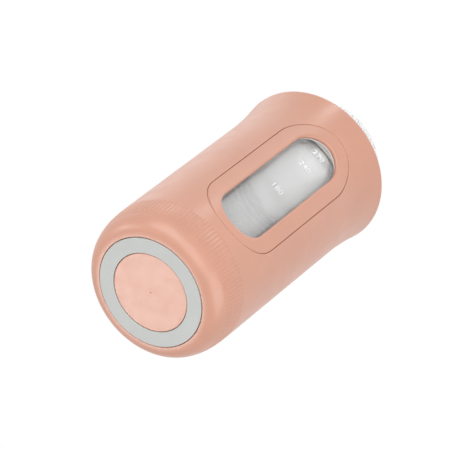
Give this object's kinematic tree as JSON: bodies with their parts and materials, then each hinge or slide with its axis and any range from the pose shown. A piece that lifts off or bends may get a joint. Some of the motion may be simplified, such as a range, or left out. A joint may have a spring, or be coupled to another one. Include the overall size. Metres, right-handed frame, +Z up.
{
  "type": "baby bottle",
  "caption": "Wide-neck baby bottle with nipple, screw collar and domed cap, standing in a protective double-walled shell with a flared rim, a long window and a soft foot ring.",
  "frame": {"origin": "centre of the foot ring on the surface that the bottle stands on", "axes": "+Z up along the bottle's axis, the window faces -Y"},
  "size_m": [0.0788, 0.0788, 0.1733],
  "materials": {
    "shell_plastic": "satin moulded plastic",
    "liner_plastic": "satin moulded plastic",
    "grey_silicone": "soft matt silicone",
    "white_silicone": "translucent silicone",
    "clear_plastic": "polished clear plastic",
    "bottle_plastic": "polished translucent plastic",
    "collar_plastic": "satin moulded plastic",
    "cap_plastic": "frosted translucent plastic"
  },
  "bodies": {
    "shell": {"outer_shell": "shell_plastic", "inner_liner": "liner_plastic", "foot_ring": "grey_silicone", "window_bezel": "shell_plastic", "window_gasket": "white_silicone", "window_pane": "clear_plastic", "base_cushion": "grey_silicone", "mouth_seal": "grey_silicone"},
    "bottle": {"bottle": "bottle_plastic"},
    "nipple": {"nipple": "white_silicone"},
    "collar": {"collar": "collar_plastic"},
    "cap": {"cap": "cap_plastic"}
  },
  "joints": [
    {"name": "bottle_lift", "type": "slide", "parent": "shell", "child": "bottle", "axis": [0, 0, 1], "range_m": [0, 0.15]},
    {"name": "nipple_lift", "type": "slide", "parent": "bottle", "child": "nipple", "axis": [0, 0, 1], "range_m": [0, 0.0095]},
    {"name": "collar_turn", "type": "hinge", "parent": "nipple", "child": "collar", "pos_m": [0, 0, 0.131], "axis": [0, 0, 1], "range_deg": [0, 810]},
    {"name": "cap_lift", "type": "slide", "parent": "collar", "child": "cap", "axis": [0, 0, 1], "range_m": [0, 0.05]}
  ],
  "couplings": [
    {"joint": "nipple_lift", "follows": "collar_turn", "m_per_rad": 0.00063662}
  ]
}
